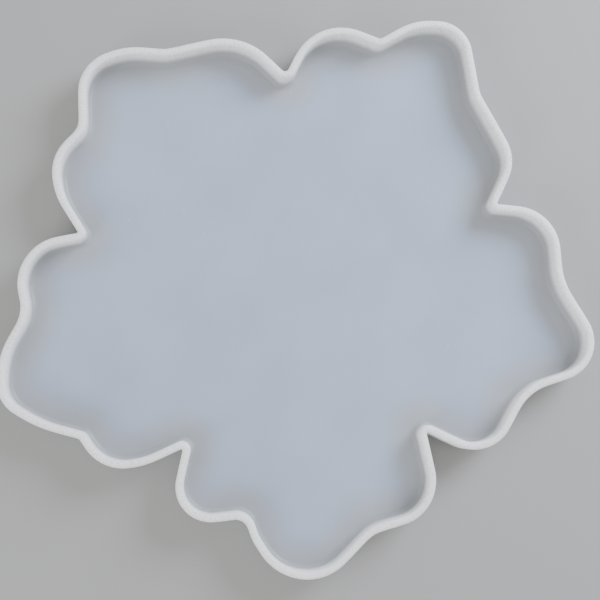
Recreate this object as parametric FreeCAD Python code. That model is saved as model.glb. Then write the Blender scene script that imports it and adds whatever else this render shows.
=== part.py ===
import FreeCAD, Part
import math
import os

# A tray mould for casting resin, in one piece of translucent silicone. From above it is a flower of
# five petals. Each petal ends in three soft lobes, and a sharp notch parts it from the next.
# One wall of even thickness follows the outline, round a flat floor that is open to the sky.
# Millimetres. Z is up, the underside lies on Z = 0, and the origin is under the middle of the
# outline's box.

HEIGHT = 16.0
FLOOR_THICKNESS = 4.0
WALL_THICKNESS = 3.2
RIM_ROUND = 1.2
FLOOR_CORNER_ROUND = 2.0
UNDERSIDE_ROUND = 0.8

BULGE = 1
DIP = -1

# The outline is a chain of rounds joined by straight runs that touch them both, clockwise
# seen from above. A bulge turns about a centre inside the flower, and a dip about one outside.
# Each round is X and Y of its centre, its radius, and which way it turns.
RIGHT_UPPER_PETAL = [
    (-8.5, 97.0, 1.85, DIP),
    (16.5, 92.5, 22.65, BULGE),
    (33.0, 112.5, 1.85, DIP),
    (56.5, 89.0, 30.15, BULGE),
    (58.5, 104.0, 15.15, BULGE),
    (88.5, 91.0, 12.35, DIP),
    (72.0, 57.5, 18.15, BULGE),
]
RIGHT_PETAL = [
    (84.0, 39.0, 0.65, DIP),
    (91.0, 18.0, 19.65, BULGE),
    (139.0, 13.5, 27.85, DIP),
    (107.0, -20.5, 17.15, BULGE),
    (110.0, -60.5, 21.85, DIP),
    (71.5, -49.5, 17.15, BULGE),
]
FRONT_PETAL = [
    (52.0, -60.0, 0.65, DIP),
    (36.5, -79.0, 18.65, BULGE),
    (36.0, -113.0, 13.85, DIP),
    (1.0, -96.5, 22.65, BULGE),
    (-10.5, -98.0, 12.15, BULGE),
    (-28.5, -100.0, 5.35, DIP),
    (-38.5, -81.0, 14.65, BULGE),
]
LEFT_PETAL = [
    (-51.0, -66.5, 0.65, DIP),
    (-75.5, -39.5, 34.15, BULGE),
    (-74.5, -54.5, 19.15, BULGE),
    (-93.5, -63.0, 1.35, DIP),
    (-88.0, -7.5, 53.65, BULGE),
    (-111.0, -38.5, 15.15, BULGE),
    (-92.0, -36.5, 34.15, BULGE),
    (-133.5, -8.0, 15.85, DIP),
    (-99.5, 2.5, 19.65, BULGE),
]
LEFT_UPPER_PETAL = [
    (-96.0, 24.0, 0.65, DIP),
    (-74.0, 50.5, 32.15, BULGE),
    (-86.0, 49.5, 20.15, BULGE),
    (-104.0, 72.0, 8.35, DIP),
    (-78.0, 84.5, 18.15, BULGE),
    (-71.5, 71.5, 32.65, BULGE),
    (-61.0, 117.0, 13.35, DIP),
    (-34.5, 83.0, 26.15, BULGE),
]
FLOWER = RIGHT_UPPER_PETAL + RIGHT_PETAL + FRONT_PETAL + LEFT_PETAL + LEFT_UPPER_PETAL

UP = FreeCAD.Vector(0, 0, 1)
TOUCHING = 1e-6


def inset_rounds(rounds, inset):
    """The same chain moved inward: bulges get smaller by the inset, and dips larger."""
    return [(x, y, radius - turn * inset, turn) for x, y, radius, turn in rounds]


def straight_run(first, second):
    """The two ends of the line that leaves the first round and meets the second one."""
    x1, y1, radius1, turn1 = first
    x2, y2, radius2, turn2 = second
    apart = math.hypot(x2 - x1, y2 - y1)
    swing = math.asin((turn2 * radius2 - turn1 * radius1) / apart)
    heading = math.atan2(y2 - y1, x2 - x1) + swing
    inward = FreeCAD.Vector(math.sin(heading), -math.cos(heading), 0)
    start = FreeCAD.Vector(x1, y1, 0) - inward * (turn1 * radius1)
    end = FreeCAD.Vector(x2, y2, 0) - inward * (turn2 * radius2)
    return start, end


def round_edge(rounding, start, end):
    """The arc of one round, from where the chain meets it to where the chain leaves it."""
    x, y, radius, turn = rounding
    angle_in = math.atan2(start.y - y, start.x - x)
    angle_out = math.atan2(end.y - y, end.x - x)
    sweep = (turn * (angle_in - angle_out)) % (2 * math.pi)
    middle_angle = angle_in - turn * sweep / 2
    middle = FreeCAD.Vector(x + radius * math.cos(middle_angle), y + radius * math.sin(middle_angle), 0)
    return Part.Arc(start, middle, end).toShape()


def outline_face(rounds):
    """The flat face inside a chain of rounds, at Z = 0."""
    following = rounds[1:] + rounds[:1]
    runs = [straight_run(first, second) for first, second in zip(rounds, following)]
    edges = []
    for index, rounding in enumerate(rounds):
        arrive = runs[index - 1][1]
        leave = runs[index][0]
        edges.append(round_edge(rounding, arrive, leave))
        edges.append(Part.LineSegment(leave, runs[index][1]).toShape())
    return Part.Face(Part.Wire(edges))


def edges_at(solid, height):
    """The edges that lie flat at one height."""
    level = []
    for edge in solid.Edges:
        box = edge.BoundBox
        if abs(box.ZMin - height) < TOUCHING and abs(box.ZMax - height) < TOUCHING:
            level.append(edge)
    return level


def outer_block():
    """The flower as a solid block with a rounded lower edge."""
    block = outline_face(FLOWER).extrude(UP * HEIGHT)
    return block.makeFillet(UNDERSIDE_ROUND, edges_at(block, 0.0))


def cavity_block():
    """The room inside the wall, from the floor up past the rim, with a rounded lower edge."""
    face = outline_face(inset_rounds(FLOWER, WALL_THICKNESS))
    face.translate(UP * FLOOR_THICKNESS)
    block = face.extrude(UP * HEIGHT)
    return block.makeFillet(FLOOR_CORNER_ROUND, edges_at(block, FLOOR_THICKNESS))


def silicone_mould():
    """The tray: the block, less the cavity, with both edges of the rim rounded."""
    tray = outer_block().cut(cavity_block())
    return tray.makeFillet(RIM_ROUND, edges_at(tray, HEIGHT))


def centred(solid):
    """The solid moved so that the middle of its box is on the Z axis."""
    middle = solid.optimalBoundingBox(False, False).Center
    solid.translate(FreeCAD.Vector(-middle.x, -middle.y, 0))
    return solid


os.makedirs("parts", exist_ok=True)
mould = centred(silicone_mould())
mould.exportStep("parts/silicone_mould.step")

box = mould.optimalBoundingBox(False, False)
print("silicone_mould: valid", mould.isValid(), "solids", len(mould.Solids), "faces", len(mould.Faces))
print("size %.2f x %.2f x %.2f mm" % (box.XLength, box.YLength, box.ZLength))
print("volume %.0f mm3" % mould.Volume)
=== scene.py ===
# %% [markdown]
# A flower-shaped mould for casting resin, moulded in one piece from translucent silicone.
# The first step loads the engineering model. It gives the size and the outline, and everything
# that follows is measured from it instead of being typed in again.

import math

import bmesh
import bpy
from mathutils import Matrix, Vector
from mathutils.geometry import delaunay_2d_cdt


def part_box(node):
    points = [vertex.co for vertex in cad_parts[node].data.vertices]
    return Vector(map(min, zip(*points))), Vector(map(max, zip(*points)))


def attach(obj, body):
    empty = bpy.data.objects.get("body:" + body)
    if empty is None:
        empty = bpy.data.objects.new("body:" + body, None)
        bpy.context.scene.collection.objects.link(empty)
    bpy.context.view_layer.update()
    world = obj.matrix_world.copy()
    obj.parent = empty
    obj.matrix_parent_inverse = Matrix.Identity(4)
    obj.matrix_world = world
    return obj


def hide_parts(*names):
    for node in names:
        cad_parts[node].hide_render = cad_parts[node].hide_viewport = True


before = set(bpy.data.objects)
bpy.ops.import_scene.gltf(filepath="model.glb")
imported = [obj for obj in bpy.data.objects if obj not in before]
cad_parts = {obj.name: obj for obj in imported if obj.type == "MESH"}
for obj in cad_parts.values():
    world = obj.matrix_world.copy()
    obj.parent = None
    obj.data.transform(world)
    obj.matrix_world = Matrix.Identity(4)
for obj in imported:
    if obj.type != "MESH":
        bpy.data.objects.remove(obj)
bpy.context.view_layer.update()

MM = 0.001
MERGE = 0.001 * MM
NODE = "silicone_mould"
low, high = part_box(NODE)
RIM_HEIGHT = high.z
print("the mould is %.1f x %.1f x %.1f mm" % tuple((high - low) / MM))

# %% [markdown]
# The camera comes first, so that every later step is judged from the same place. The mould is
# seen from almost straight above, with the lens a little over the front petal on the left. That
# small tilt is what lets the eye see the inside of the far walls and only the top of the near ones.

# %% Camera
CAMERA_PLACE = Vector((-31.0, -49.0, 446.0)) * MM
CAMERA_TARGET = Vector((-1.0, -4.0, RIM_HEIGHT / MM)) * MM
FOCAL_LENGTH_MM = 61.91
SENSOR_MM = 36.0

camera = bpy.data.objects.new("camera", bpy.data.cameras.new("camera"))
bpy.context.scene.collection.objects.link(camera)
camera.data.lens = FOCAL_LENGTH_MM
camera.data.sensor_width = SENSOR_MM

forward = (CAMERA_TARGET - CAMERA_PLACE).normalized()
right = forward.cross(Vector((0, 1, 0))).normalized()
upward = right.cross(forward)
turn = Matrix((right, upward, -forward)).transposed().to_4x4()
camera.matrix_world = Matrix.Translation(CAMERA_PLACE) @ turn
bpy.context.scene.camera = camera
print("the camera is %.0f mm above the bench" % (CAMERA_PLACE.z / MM))

# %% [markdown]
# The outline is read from the engineering model. A copy of its mesh is merged and cut level
# through the middle of the wall, which leaves two closed lines: the outside of the wall and the
# inside. The outer line gives the path for the wall, and the gap between the two gives its
# thickness. A ray dropped into the middle gives the thickness of the floor.

# %% Cut the engineering model level
def closed_loops(edges):
    """Edges that join end to end, as closed lists of the mesh's points."""
    left = dict.fromkeys(edges)
    loops = []
    while left:
        first = next(iter(left))
        del left[first]
        start, here = first.verts
        loop = [start]
        while here is not start:
            loop.append(here)
            onward = next(edge for edge in here.link_edges if edge in left)
            del left[onward]
            here = onward.other_vert(here)
        loops.append(loop)
    return loops


def level_cut(node, height):
    """The closed lines, each a list of points, where a level plane meets the merged copy of a node."""
    solid = bmesh.new()
    solid.from_mesh(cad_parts[node].data)
    bmesh.ops.remove_doubles(solid, verts=solid.verts, dist=MERGE)
    everything = solid.verts[:] + solid.edges[:] + solid.faces[:]
    cut = bmesh.ops.bisect_plane(solid, geom=everything, plane_co=(0, 0, height), plane_no=(0, 0, 1))
    edges = [part for part in cut["geom_cut"] if isinstance(part, bmesh.types.BMEdge)]
    lines = [[vert.co.copy() for vert in loop] for loop in closed_loops(edges)]
    solid.free()
    return lines


def turned_left(line):
    """The line, in the order that goes round to the left as seen from above."""
    pairs = zip(line, line[1:] + line[:1])
    area = sum(a.x * b.y - b.x * a.y for a, b in pairs)
    return line if area > 0 else line[::-1]


def without_straight_points(line, least_turn):
    """The line without the points that it passes through straight on."""
    kept = []
    for before, here, after in zip(line[-1:] + line[:-1], line, line[1:] + line[:1]):
        if (here - before).angle(after - here, 0.0) > least_turn:
            kept.append(here)
    return kept


def reach(line):
    """How far a line stretches from left to right."""
    return max(point.x for point in line) - min(point.x for point in line)


CUT_HEIGHT = RIM_HEIGHT * 0.6
LEAST_TURN = math.radians(0.05)
ABOVE_THE_MIDDLE = Vector((0, 0, RIM_HEIGHT * 2))
STRAIGHT_DOWN = Vector((0, 0, -1))

outer_line, inner_line = sorted(level_cut(NODE, CUT_HEIGHT), key=reach, reverse=True)
outer_line = turned_left(without_straight_points(outer_line, LEAST_TURN))
WALL = (reach(outer_line) - reach(inner_line)) / 2
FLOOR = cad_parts[NODE].ray_cast(ABOVE_THE_MIDDLE, STRAIGHT_DOWN)[1].z
print("wall %.2f mm, floor %.2f mm" % (WALL / MM, FLOOR / MM))
print("points on the outer line:", len(outer_line))

# %% [markdown]
# The cut has a point wherever the model's facets meet. A smooth curve through those points is
# the outline as a mould maker would draw it. Bezier points with automatic handles suit it, because
# they follow both the long soft lobes and the sharp notches between the petals.

# %% Outline curve
STEPS_BETWEEN_POINTS = 24
outline_data = bpy.data.curves.new("outline", "CURVE")
outline_data.dimensions = "3D"
outline_data.resolution_u = STEPS_BETWEEN_POINTS
spline = outline_data.splines.new("BEZIER")
spline.bezier_points.add(len(outer_line) - 1)
for knot, point in zip(spline.bezier_points, outer_line):
    knot.co = (point.x, point.y, 0.0)
    knot.handle_left_type = "AUTO"
    knot.handle_right_type = "AUTO"
spline.use_cyclic_u = True
outline = bpy.data.objects.new("outline", outline_data)
bpy.context.scene.collection.objects.link(outline)
bpy.context.view_layer.update()
print("the outline is %.0f mm long" % (spline.calc_length() / MM))

# %% [markdown]
# Geometry Nodes and shader nodes are wired in the same way, so one small function adds a node,
# sets its properties and fills or links its inputs. Sums are so common that they get a shorter
# form of it. One more function starts a tree with named inputs, and the last gives those inputs
# their values on an object and keeps the result as a plain mesh.

# %% Helpers for node trees
def add_node(tree, kind, settings, inputs):
    """Adds a node, sets its properties, and gives each input a value or links a socket to it."""
    node = tree.nodes.new(kind)
    for name, value in settings.items():
        setattr(node, name, value)
    for key, value in inputs.items():
        if isinstance(value, bpy.types.NodeSocket):
            tree.links.new(value, node.inputs[key])
        else:
            node.inputs[key].default_value = value
    return node


def maths(tree, operation, *values):
    """The result of one sum or comparison, of values or of links."""
    return add_node(tree, "ShaderNodeMath", {"operation": operation}, dict(enumerate(values))).outputs[0]


def geometry_tree(name, inputs):
    """A Geometry Nodes tree with a mesh going in and out, and one more named input for each pair."""
    tree = bpy.data.node_groups.new(name, "GeometryNodeTree")
    tree.interface.new_socket(name="Geometry", in_out="INPUT", socket_type="NodeSocketGeometry")
    tree.interface.new_socket(name="Geometry", in_out="OUTPUT", socket_type="NodeSocketGeometry")
    for label, kind in inputs:
        tree.interface.new_socket(name=label, in_out="INPUT", socket_type=kind)
    return tree


def run_tree(piece, tree, values):
    """Gives a piece the tree's result as a plain mesh."""
    modifier = piece.modifiers.new(tree.name, "NODES")
    modifier.node_group = tree
    for item in tree.interface.items_tree:
        if item.name in values:
            modifier[item.identifier] = values[item.name]
    bpy.context.view_layer.update()
    evaluated = piece.evaluated_get(bpy.context.evaluated_depsgraph_get())
    result = bpy.data.meshes.new_from_object(evaluated)
    piece.modifiers.remove(modifier)
    piece.data = result
    return result


NUMBER = "NodeSocketFloat"
print("named inputs of a tree are numbers of the kind", NUMBER)

# %% [markdown]
# The wall is one section carried round the outline: up the outside, over the rim, down the inside
# and a little way out over the floor, with the underside below. It could be modelled lobe by lobe,
# or extruded and bevelled, but a swept section keeps the same thickness everywhere and its roundings
# stay true through the notches. The path is the middle of the wall, because the sharpest notch is
# easier to turn there than at the outside, where it comes almost to a point.

# %% Wall section swept round the outline
sweep = geometry_tree(
    "wall_sweep",
    [
        ("Outline", "NodeSocketObject"),
        ("Height", NUMBER),
        ("Wall", NUMBER),
        ("Floor", NUMBER),
        ("Rim round", NUMBER),
        ("Floor corner round", NUMBER),
        ("Underside round", NUMBER),
        ("Floor strip", NUMBER),
        ("Step along the wall", NUMBER),
        ("Row spacing", NUMBER),
        ("Facets in a round", "NodeSocketInt"),
        ("Material", "NodeSocketMaterial"),
    ],
)
given = add_node(sweep, "NodeGroupInput", {}, {}).outputs

# The path: the outline in very short steps, moved in by half the wall, then in even steps.
source = add_node(
    sweep,
    "GeometryNodeObjectInfo",
    {"transform_space": "RELATIVE"},
    {"Object": given["Outline"]},
)
quarter_step = maths(sweep, "MULTIPLY", given["Step along the wall"], 0.25)
fine = add_node(
    sweep,
    "GeometryNodeResampleCurve",
    {"mode": "LENGTH"},
    {"Curve": source.outputs["Geometry"], "Length": quarter_step},
)
tangent = add_node(sweep, "GeometryNodeInputTangent", {}, {})
inward = add_node(
    sweep,
    "ShaderNodeVectorMath",
    {"operation": "CROSS_PRODUCT"},
    {0: (0.0, 0.0, 1.0), 1: tangent.outputs[0]},
)
half_wall = maths(sweep, "MULTIPLY", given["Wall"], 0.5)
shift = add_node(
    sweep,
    "ShaderNodeVectorMath",
    {"operation": "SCALE"},
    {0: inward.outputs[0], "Scale": half_wall},
)
middle = add_node(
    sweep,
    "GeometryNodeSetPosition",
    {},
    {"Geometry": fine.outputs[0], "Offset": shift.outputs[0]},
)
even = add_node(
    sweep,
    "GeometryNodeResampleCurve",
    {"mode": "LENGTH"},
    {"Curve": middle.outputs[0], "Length": given["Step along the wall"]},
)
path = add_node(
    sweep,
    "GeometryNodeSetCurveNormal",
    {"mode": "FREE"},
    {"Curve": even.outputs[0], "Normal": inward.outputs[0]},
)

# The section: six corners, X inward from the middle of the wall and Y up.
wall_out = maths(sweep, "MULTIPLY", half_wall, -1.0)
past_corner = maths(sweep, "ADD", half_wall, given["Floor corner round"])
strip_end = maths(sweep, "ADD", past_corner, given["Floor strip"])
CORNERS = [
    (0.0, strip_end, 0.0),
    (0.0, wall_out, given["Underside round"]),
    (given["Height"], wall_out, given["Rim round"]),
    (given["Height"], half_wall, given["Rim round"]),
    (given["Floor"], half_wall, given["Floor corner round"]),
    (given["Floor"], strip_end, 0.0),
]
number = add_node(sweep, "GeometryNodeInputIndex", {}, {})
which_corner = {"Index": number.outputs[0]}
corner_place = add_node(sweep, "GeometryNodeIndexSwitch", {"data_type": "VECTOR"}, which_corner)
corner_round = add_node(sweep, "GeometryNodeIndexSwitch", {"data_type": "FLOAT"}, which_corner)
for _ in CORNERS[2:]:
    corner_place.index_switch_items.new()
    corner_round.index_switch_items.new()
for index, (up, across, radius) in enumerate(CORNERS):
    place = add_node(sweep, "ShaderNodeCombineXYZ", {}, {"X": across, "Y": up})
    sweep.links.new(place.outputs[0], corner_place.inputs[index + 1])
    if radius:
        sweep.links.new(radius, corner_round.inputs[index + 1])
points = add_node(sweep, "GeometryNodeMeshLine", {}, {"Count": len(CORNERS)})
placed = add_node(
    sweep,
    "GeometryNodeSetPosition",
    {},
    {"Geometry": points.outputs[0], "Position": corner_place.outputs[0]},
)
section = add_node(sweep, "GeometryNodeMeshToCurve", {}, {"Mesh": placed.outputs[0]})
rounded = add_node(
    sweep,
    "GeometryNodeFilletCurve",
    {"mode": "POLY"},
    {
        "Curve": section.outputs[0],
        "Count": given["Facets in a round"],
        "Radius": corner_round.outputs[0],
        "Limit Radius": False,
    },
)

# Long runs of the section get extra rows, so that the wall can lean and ripple a little later.
position = add_node(sweep, "GeometryNodeInputPosition", {}, {})
next_number = maths(sweep, "ADD", number.outputs[0], 1.0)
next_place = add_node(
    sweep,
    "GeometryNodeFieldAtIndex",
    {"data_type": "FLOAT_VECTOR", "domain": "POINT"},
    {"Index": next_number, "Value": position.outputs[0]},
)
run = add_node(
    sweep,
    "ShaderNodeVectorMath",
    {"operation": "DISTANCE"},
    {0: position.outputs[0], 1: next_place.outputs[0]},
)
rows = maths(sweep, "DIVIDE", run.outputs["Value"], given["Row spacing"])
divided = add_node(
    sweep,
    "GeometryNodeSubdivideCurve",
    {},
    {"Curve": rounded.outputs[0], "Cuts": rows},
)

# How deep each point of the section is inside the cavity: 0 at the rim and outside, 1 on the floor.
across_up = add_node(sweep, "ShaderNodeSeparateXYZ", {}, {0: position.outputs[0]})
inner_side = maths(sweep, "GREATER_THAN", across_up.outputs["X"], 0.0)
half_floor = maths(sweep, "MULTIPLY", given["Floor"], 0.5)
above = maths(sweep, "GREATER_THAN", across_up.outputs["Y"], half_floor)
in_cavity = maths(sweep, "MULTIPLY", inner_side, above)
depth = add_node(
    sweep,
    "ShaderNodeMapRange",
    {},
    {
        "Value": across_up.outputs["Y"],
        "From Min": given["Height"],
        "From Max": given["Floor"],
        "To Max": in_cavity,
    },
)
marked = add_node(
    sweep,
    "GeometryNodeStoreNamedAttribute",
    {"data_type": "FLOAT", "domain": "POINT"},
    {"Geometry": divided.outputs[0], "Name": "depth", "Value": depth.outputs["Result"]},
)

swept = add_node(
    sweep,
    "GeometryNodeCurveToMesh",
    {},
    {"Curve": path.outputs[0], "Profile Curve": marked.outputs[0], "Fill Caps": False},
)
real = add_node(sweep, "GeometryNodeRealizeInstances", {}, {"Geometry": swept.outputs[0]})
finished = add_node(
    sweep,
    "GeometryNodeSetMaterial",
    {},
    {"Geometry": real.outputs[0], "Material": given["Material"]},
)
add_node(sweep, "NodeGroupOutput", {}, {"Geometry": finished.outputs[0]})

tray = bpy.data.objects.new("flower_tray", bpy.data.meshes.new("flower_tray"))
bpy.context.scene.collection.objects.link(tray)
silicone = bpy.data.materials.new("platinum_cure_silicone")
run_tree(
    tray,
    sweep,
    {
        "Outline": outline,
        "Height": RIM_HEIGHT,
        "Wall": WALL,
        "Floor": FLOOR,
        "Rim round": 1.2 * MM,
        "Floor corner round": 2.0 * MM,
        "Underside round": 0.8 * MM,
        "Floor strip": 1.0 * MM,
        "Step along the wall": 0.6 * MM,
        "Row spacing": 2.5 * MM,
        "Facets in a round": 6,
        "Material": silicone,
    },
)
print("the wall has %d faces" % len(tray.data.polygons))

# %% [markdown]
# The sweep leaves two holes, one in the floor of the cavity and one in the underside. Each is
# filled with triangles that share the wall's own edge points, so the tray is one closed skin. The
# cavity floor gets a point every few millimetres, because real silicone is never perfectly flat
# and the next step needs points to move. The underside rests on the bench, and needs few.

# %% Fill the cavity floor and the underside
FLOOR_SPACING = 3.0 * MM
UNDERSIDE_SPACING = 12.0 * MM
INSIDE_THE_RIM = 1
SAME_POINT = 1e-7


def staggered_grid(low, high, spacing):
    """Points in rows across a box, every other row moved by half a step."""
    points = []
    row_height = spacing * math.sqrt(3) / 2
    for row in range(int((high.y - low.y) / row_height) + 1):
        for column in range(int((high.x - low.x) / spacing) + 1):
            x = low.x + spacing * (column + 0.5 * (row % 2))
            points.append(Vector((x, low.y + row_height * row)))
    return points


def fill(skin, loop, spacing, depth):
    """Fills a level loop with triangles about as large as the spacing, and marks their depth."""
    marks = skin.verts.layers.float["depth"]
    rim = [vert.co.to_2d() for vert in loop]
    inside = staggered_grid(low, high, spacing)
    edges = [(i, (i + 1) % len(rim)) for i in range(len(rim))]
    filled = delaunay_2d_cdt(rim + inside, edges, [], INSIDE_THE_RIM, SAME_POINT)
    points, _, triangles, origins, _, _ = filled
    level = loop[0].co.z
    verts = []
    for point, origin in zip(points, origins):
        on_rim = [i for i in origin if i < len(rim)]
        vert = loop[on_rim[0]] if on_rim else skin.verts.new((point.x, point.y, level))
        vert[marks] = depth
        verts.append(vert)
    for triangle in triangles:
        skin.faces.new([verts[i] for i in triangle])
    for vert in verts:
        if not vert.link_faces:
            skin.verts.remove(vert)


skin = bmesh.new()
skin.from_mesh(tray.data)
for loop in closed_loops([edge for edge in skin.edges if edge.is_boundary]):
    if loop[0].co.z > FLOOR / 2:
        fill(skin, loop, FLOOR_SPACING, 1.0)
    else:
        fill(skin, loop, UNDERSIDE_SPACING, 0.0)
bmesh.ops.remove_doubles(skin, verts=skin.verts, dist=MERGE)
bmesh.ops.recalc_face_normals(skin, faces=skin.faces)
for face in skin.faces:
    face.smooth = True
print("open edges:", sum(edge.is_boundary for edge in skin.edges))
print("volume: %.1f cm3" % (skin.calc_volume(signed=True) / (10 * MM) ** 3))
print("triangles:", sum(len(face.verts) - 2 for face in skin.faces))
skin.to_mesh(tray.data)
skin.free()

# %% [markdown]
# Silicone is soft, and a large tray never stands perfectly true. Its rim leans in and out a little
# and rises and falls by a fraction of a millimetre, and its floor is not quite flat. Slow noise
# gives this, and it grows with the height, so the underside stays flat on the bench. The same
# tree measures how far each point is from the wall, which the material needs later.

# %% Let the silicone settle
settle = geometry_tree(
    "settle",
    [
        ("Outline", "NodeSocketObject"),
        ("Height", NUMBER),
        ("Floor", NUMBER),
        ("Wavelength", NUMBER),
        ("Lean", NUMBER),
        ("Rim rise", NUMBER),
        ("Floor unevenness", NUMBER),
        ("Seed", NUMBER),
        ("Material", "NodeSocketMaterial"),
    ],
)
given = add_node(settle, "NodeGroupInput", {}, {}).outputs
place = add_node(settle, "GeometryNodeInputPosition", {}, {})
parts = add_node(settle, "ShaderNodeSeparateXYZ", {}, {0: place.outputs[0]})
on_plan = add_node(
    settle,
    "ShaderNodeCombineXYZ",
    {},
    {"X": parts.outputs["X"], "Y": parts.outputs["Y"]},
)
per_metre = maths(settle, "DIVIDE", 1.0, given["Wavelength"])
slow = add_node(
    settle,
    "ShaderNodeTexNoise",
    {"noise_dimensions": "4D"},
    {
        "Vector": on_plan.outputs[0],
        "W": given["Seed"],
        "Scale": per_metre,
        "Detail": 1.0,
    },
)
around_zero = add_node(
    settle,
    "ShaderNodeVectorMath",
    {"operation": "SUBTRACT"},
    {0: slow.outputs["Color"], 1: (0.5, 0.5, 0.5)},
)
sway = add_node(settle, "ShaderNodeSeparateXYZ", {}, {0: around_zero.outputs[0]})
up_the_wall = add_node(
    settle,
    "ShaderNodeMapRange",
    {"interpolation_type": "SMOOTHSTEP"},
    {"Value": parts.outputs["Z"], "From Min": given["Floor"], "From Max": given["Height"]},
)
up_the_floor = add_node(
    settle,
    "ShaderNodeMapRange",
    {"interpolation_type": "SMOOTHSTEP"},
    {"Value": parts.outputs["Z"], "From Min": 0.0, "From Max": given["Floor"]},
)
lean = maths(settle, "MULTIPLY", given["Lean"], up_the_wall.outputs["Result"])
lean_x = maths(settle, "MULTIPLY", sway.outputs["X"], lean)
lean_y = maths(settle, "MULTIPLY", sway.outputs["Y"], lean)
rise = maths(settle, "MULTIPLY", given["Rim rise"], up_the_wall.outputs["Result"])
uneven = maths(
    settle,
    "MULTIPLY_ADD",
    given["Floor unevenness"],
    up_the_floor.outputs["Result"],
    rise,
)
lift = maths(settle, "MULTIPLY", sway.outputs["Z"], uneven)
drift = add_node(
    settle,
    "ShaderNodeCombineXYZ",
    {},
    {"X": lean_x, "Y": lean_y, "Z": lift},
)
outline_line = add_node(
    settle,
    "GeometryNodeObjectInfo",
    {"transform_space": "RELATIVE"},
    {"Object": given["Outline"]},
)
outline_edges = add_node(
    settle,
    "GeometryNodeCurveToMesh",
    {},
    {"Curve": outline_line.outputs["Geometry"]},
)
nearest = add_node(
    settle,
    "GeometryNodeProximity",
    {"target_element": "EDGES"},
    {0: outline_edges.outputs[0], "Sample Position": on_plan.outputs[0]},
)
measured = add_node(
    settle,
    "GeometryNodeStoreNamedAttribute",
    {"data_type": "FLOAT", "domain": "POINT"},
    {"Geometry": given["Geometry"], "Name": "from_edge", "Value": nearest.outputs["Distance"]},
)
moved = add_node(
    settle,
    "GeometryNodeSetPosition",
    {},
    {"Geometry": measured.outputs[0], "Offset": drift.outputs[0]},
)
real = add_node(settle, "GeometryNodeRealizeInstances", {}, {"Geometry": moved.outputs[0]})
finished = add_node(
    settle,
    "GeometryNodeSetMaterial",
    {},
    {"Geometry": real.outputs[0], "Material": given["Material"]},
)
add_node(settle, "NodeGroupOutput", {}, {"Geometry": finished.outputs[0]})
run_tree(
    tray,
    settle,
    {
        "Outline": outline,
        "Height": RIM_HEIGHT,
        "Floor": FLOOR,
        "Wavelength": 45.0 * MM,
        "Lean": 1.2 * MM,
        "Rim rise": 0.5 * MM,
        "Floor unevenness": 0.3 * MM,
        "Seed": 4.0,
        "Material": silicone,
    },
)
bpy.data.objects.remove(outline)
from_edge = [item.value for item in tray.data.attributes["from_edge"].data]
print("the middle of the floor is %.0f mm from the edge" % (max(from_edge) / MM))

# %% [markdown]
# The mould is taken to be platinum-cure silicone, cast over a polished master. It is milky:
# light goes a few millimetres into it and comes out again somewhere else. So the wall, lit from
# all sides, looks nearly white, and the thin floor looks a cool grey. Subsurface scattering gives
# that softness. One colour recipe serves the whole skin. It follows the depth in the cavity and
# the distance from the edge, and much of it is painted light: painted shade down the inside of the
# wall and along its foot, a cool painted reflection over the open floor, and painted shade low on the
# outside of the wall. Slow and fine noise breaks it up, because a flat colour would look like painted
# plastic.

# %% Silicone
def linear(hex_colour):
    """An sRGB hex colour as the linear colour that a node takes."""
    channels = [int(hex_colour[i : i + 2], 16) / 255 for i in (1, 3, 5)]
    return [c / 12.92 if c <= 0.04045 else ((c + 0.055) / 1.055) ** 2.4 for c in channels] + [1.0]


WALL_WHITE = "#F7F6F3"
# Painted shade along the foot of the wall, and the thin floor painted darker and cool as painted shade
# with a painted reflection.
FOOT_PAINTED_SHADE = "#B1B3B6"
FLOOR_SHADE_AND_SHEEN = "#B0BBCB"
# Painted shade, cooler and darker, low on the outside of the wall.
LOW_WALL_PAINTED_SHADE = "#D3D8DE"
# A pale colour for small specks scattered over the skin.
SPECK_WHITE = "#D9DEE4"

CLOUD_SIZE = 30.0 * MM
GRAIN_SIZE = 0.9 * MM
GRAIN_RELIEF = 0.3 * MM
SPECK_SPACING = 16.0 * MM
SMEAR_SIZE = 18.0 * MM
FROSTED_ROUGHNESS = 0.62
SILICONE_IOR = 1.41
LIGHT_GOES_IN = 3.0 * MM

silicone.use_nodes = True
nodes = silicone.node_tree
nodes.nodes.clear()
spot = add_node(nodes, "ShaderNodeTexCoord", {}, {}).outputs["Object"]
depth = add_node(nodes, "ShaderNodeAttribute", {"attribute_name": "depth"}, {})
from_edge = add_node(nodes, "ShaderNodeAttribute", {"attribute_name": "from_edge"}, {})

# Tone, mostly painted light: white at the rim, a neutral painted shade along the foot of the wall, and
# an open floor painted darker and cool, as painted shade with a painted reflection.
clear_of_foot_shade = add_node(
    nodes,
    "ShaderNodeMapRange",
    {"interpolation_type": "SMOOTHSTEP"},
    {"Value": from_edge.outputs["Fac"], "From Min": 3.0 * MM, "From Max": 20.0 * MM},
)
floor_shade_and_sheen = add_node(
    nodes,
    "ShaderNodeMix",
    {"data_type": "RGBA"},
    {0: clear_of_foot_shade.outputs["Result"], 6: linear(FOOT_PAINTED_SHADE), 7: linear(FLOOR_SHADE_AND_SHEEN)},
)
# Painted shade: deeper in the cavity, the white of the rim gives way to the darker floor colours.
deep = add_node(
    nodes,
    "ShaderNodeMapRange",
    {"interpolation_type": "SMOOTHSTEP"},
    {"Value": depth.outputs["Fac"], "From Min": 0.25, "From Max": 0.95},
)
cavity_shade_tone = add_node(
    nodes,
    "ShaderNodeMix",
    {"data_type": "RGBA"},
    {0: deep.outputs["Result"], 6: linear(WALL_WHITE), 7: floor_shade_and_sheen.outputs[2]},
)

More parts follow.
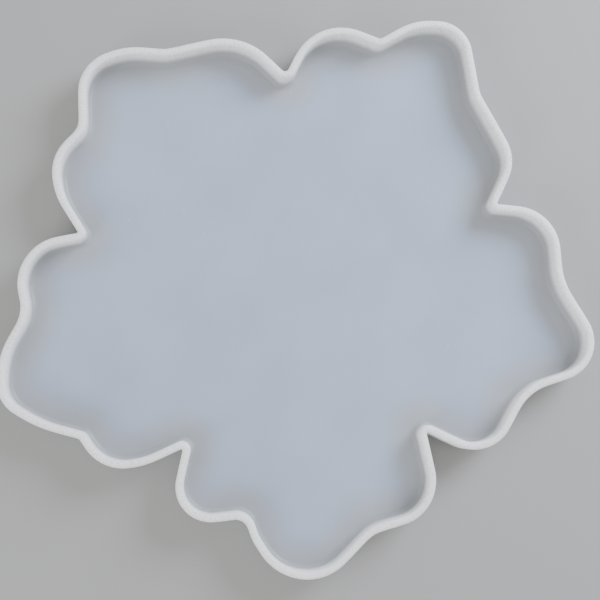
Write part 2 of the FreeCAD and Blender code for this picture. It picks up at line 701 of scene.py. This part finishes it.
# Outside, the foot of the wall lets more of the light go through, and is painted a little cooler and
# darker there: a painted shade low on the outer wall.
height = add_node(nodes, "ShaderNodeSeparateXYZ", {}, {0: spot}).outputs["Z"]
low_down = add_node(
    nodes,
    "ShaderNodeMapRange",
    {"interpolation_type": "SMOOTHSTEP"},
    {"Value": height, "From Min": 1.0 * MM, "From Max": 13.0 * MM, "To Min": 1.0, "To Max": 0.0},
)
outside = add_node(
    nodes,
    "ShaderNodeMapRange",
    {},
    {"Value": depth.outputs["Fac"], "From Max": 0.05, "To Min": 1.0, "To Max": 0.0},
)
low_outside_shade = maths(nodes, "MULTIPLY", low_down.outputs["Result"], outside.outputs["Result"])
painted_shade_tone = add_node(
    nodes,
    "ShaderNodeMix",
    {"data_type": "RGBA"},
    {0: low_outside_shade, 6: cavity_shade_tone.outputs[2], 7: linear(LOW_WALL_PAINTED_SHADE)},
)

# Cloudiness: the silicone is a little denser in some places than in others, some 30 mm apart.
cloud = add_node(
    nodes,
    "ShaderNodeTexNoise",
    {},
    {"Vector": spot, "Scale": 1 / CLOUD_SIZE, "Detail": 2.0, "Roughness": 0.45},
)
cloud_strength = add_node(
    nodes,
    "ShaderNodeMapRange",
    {},
    {"Value": cloud.outputs["Fac"], "From Min": 0.3, "From Max": 0.7, "To Min": 0.96, "To Max": 1.04},
)
# Grain: the fine stipple of the rim, about 0.9 mm, which fades down both faces of the wall.
off_the_rim = maths(nodes, "MAXIMUM", deep.outputs["Result"], low_outside_shade)
grain = add_node(
    nodes,
    "ShaderNodeTexNoise",
    {},
    {"Vector": spot, "Scale": 1 / GRAIN_SIZE, "Detail": 3.0, "Roughness": 0.6},
)
grain_reach = add_node(
    nodes,
    "ShaderNodeMapRange",
    {},
    {"Value": off_the_rim, "To Min": 1.0, "To Max": 0.06},
)
around_middle = maths(nodes, "SUBTRACT", grain.outputs["Fac"], 0.5)
grain_strength = maths(
    nodes,
    "MULTIPLY_ADD",
    around_middle,
    grain_reach.outputs["Result"],
    1.0,
)
density = maths(nodes, "MULTIPLY", cloud_strength.outputs["Result"], grain_strength)
uneven_tone = add_node(
    nodes,
    "ShaderNodeVectorMath",
    {"operation": "SCALE"},
    {0: painted_shade_tone.outputs[2], "Scale": density},
)

# Specks: here and there a small pale pinhead speck, some 16 mm apart.
cells = add_node(
    nodes,
    "ShaderNodeTexVoronoi",
    {"voronoi_dimensions": "3D"},
    {"Vector": spot, "Scale": 1 / SPECK_SPACING, "Randomness": 1.0},
)
speck_size = add_node(
    nodes,
    "ShaderNodeMapRange",
    {},
    {
        "Value": cells.outputs["Distance"],
        "From Min": 0.02,
        "From Max": 0.042,
        "To Min": 0.4,
        "To Max": 0.0,
    },
)
with_specks = add_node(
    nodes,
    "ShaderNodeMix",
    {"data_type": "RGBA"},
    {0: speck_size.outputs["Result"], 6: uneven_tone.outputs[0], 7: linear(SPECK_WHITE)},
)

# Gloss: the cavity copies a polished master and is satin, the wall and the underside are frosted.
smear = add_node(
    nodes,
    "ShaderNodeTexNoise",
    {},
    {"Vector": spot, "Scale": 1 / SMEAR_SIZE, "Detail": 2.0},
)
satin = add_node(
    nodes,
    "ShaderNodeMapRange",
    {},
    {"Value": smear.outputs["Fac"], "From Min": 0.3, "From Max": 0.7, "To Min": 0.34, "To Max": 0.44},
)
roughness = add_node(
    nodes,
    "ShaderNodeMix",
    {"data_type": "FLOAT"},
    {0: depth.outputs["Fac"], 2: FROSTED_ROUGHNESS, 3: satin.outputs["Result"]},
)
grain_bump = add_node(
    nodes,
    "ShaderNodeMapRange",
    {},
    {"Value": off_the_rim, "To Min": 0.8, "To Max": 0.04},
)
relief = add_node(
    nodes,
    "ShaderNodeBump",
    {},
    {"Strength": grain_bump.outputs["Result"], "Distance": GRAIN_RELIEF, "Height": grain.outputs["Fac"]},
)
surface = add_node(
    nodes,
    "ShaderNodeBsdfPrincipled",
    {},
    {
        "Base Color": with_specks.outputs[2],
        "Roughness": roughness.outputs[0],
        "IOR": SILICONE_IOR,
        "Subsurface Weight": 1.0,
        "Subsurface Radius": (1.0, 0.95, 0.9),
        "Subsurface Scale": LIGHT_GOES_IN,
        "Normal": relief.outputs[0],
    },
)
add_node(nodes, "ShaderNodeOutputMaterial", {}, {"Surface": surface.outputs[0]})
print("the silicone has %d nodes" % len(nodes.nodes))

# %% [markdown]
# The bench is a plain pale laminate, a little greyer than the silicone, so that the white rim
# stands out and nothing draws the eye from the mould. It lies a hair below the underside, because
# two faces at the same height would flicker, and it goes on far enough that no corner shows.

# %% Bench
BENCH_GAP = 0.02 * MM
BENCH_REACH = 15.0
BENCH_GREY = "#A09F9D"
BENCH_ROUGHNESS = 0.7
bench_mesh = bpy.data.meshes.new("bench")
bench_skin = bmesh.new()
bmesh.ops.create_grid(bench_skin, x_segments=1, y_segments=1, size=BENCH_REACH)
bmesh.ops.translate(bench_skin, verts=bench_skin.verts, vec=(0, 0, -BENCH_GAP))
bench_skin.to_mesh(bench_mesh)
bench_skin.free()
bench = bpy.data.objects.new("bench", bench_mesh)
bpy.context.scene.collection.objects.link(bench)
laminate = bpy.data.materials.new("pale_laminate")
laminate.use_nodes = True
coating = laminate.node_tree.nodes["Principled BSDF"].inputs
coating["Base Color"].default_value = linear(BENCH_GREY)
coating["Roughness"].default_value = BENCH_ROUGHNESS
bench_mesh.materials.append(laminate)
print("the bench reaches %.0f m each way" % BENCH_REACH)

# %% [markdown]
# The light is soft and comes from all round, as it does indoors on a grey day, so most of it is the
# plain surroundings. A large cool lamp on the right, behind the mould, stands for a window. It
# leaves the inside of the wall nearest to it in shade, and that is what shows the depth of the
# tray. A wider lamp stands opposite and farther off, so it is gentler, and it keeps those shaded
# walls from going dark.

# %% Light
SURROUNDINGS = "#F6F5F4"
SURROUNDINGS_STRENGTH = 0.985
LAMPS = [
    ("window", (0.52, 0.42, 0.41), 0.45, 8.4, "#E6EDFF"),
    ("fill", (-0.84, -0.80, 0.72), 0.75, 8.6, "#F4F8FF"),
]

world = bpy.data.worlds.new("studio")
bpy.context.scene.world = world
world.use_nodes = True
background = world.node_tree.nodes["Background"].inputs
background["Color"].default_value = linear(SURROUNDINGS)
background["Strength"].default_value = SURROUNDINGS_STRENGTH

# Each lamp has its name, its place and width in metres, its power in watts and its colour.
for name, place, width, watts, colour in LAMPS:
    data = bpy.data.lights.new(name, "AREA")
    data.shape = "DISK"
    data.size = width
    data.energy = watts
    data.color = linear(colour)[:3]
    lamp = bpy.data.objects.new(name, data)
    bpy.context.scene.collection.objects.link(lamp)
    lamp.location = place
    lamp.rotation_euler = (-Vector(place)).to_track_quat("-Z", "Y").to_euler()
    print("%s: %.1f W from %.2f m away" % (name, watts, Vector(place).length))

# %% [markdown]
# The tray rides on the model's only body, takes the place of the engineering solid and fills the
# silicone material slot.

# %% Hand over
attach(tray, "root")
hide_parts(NODE)
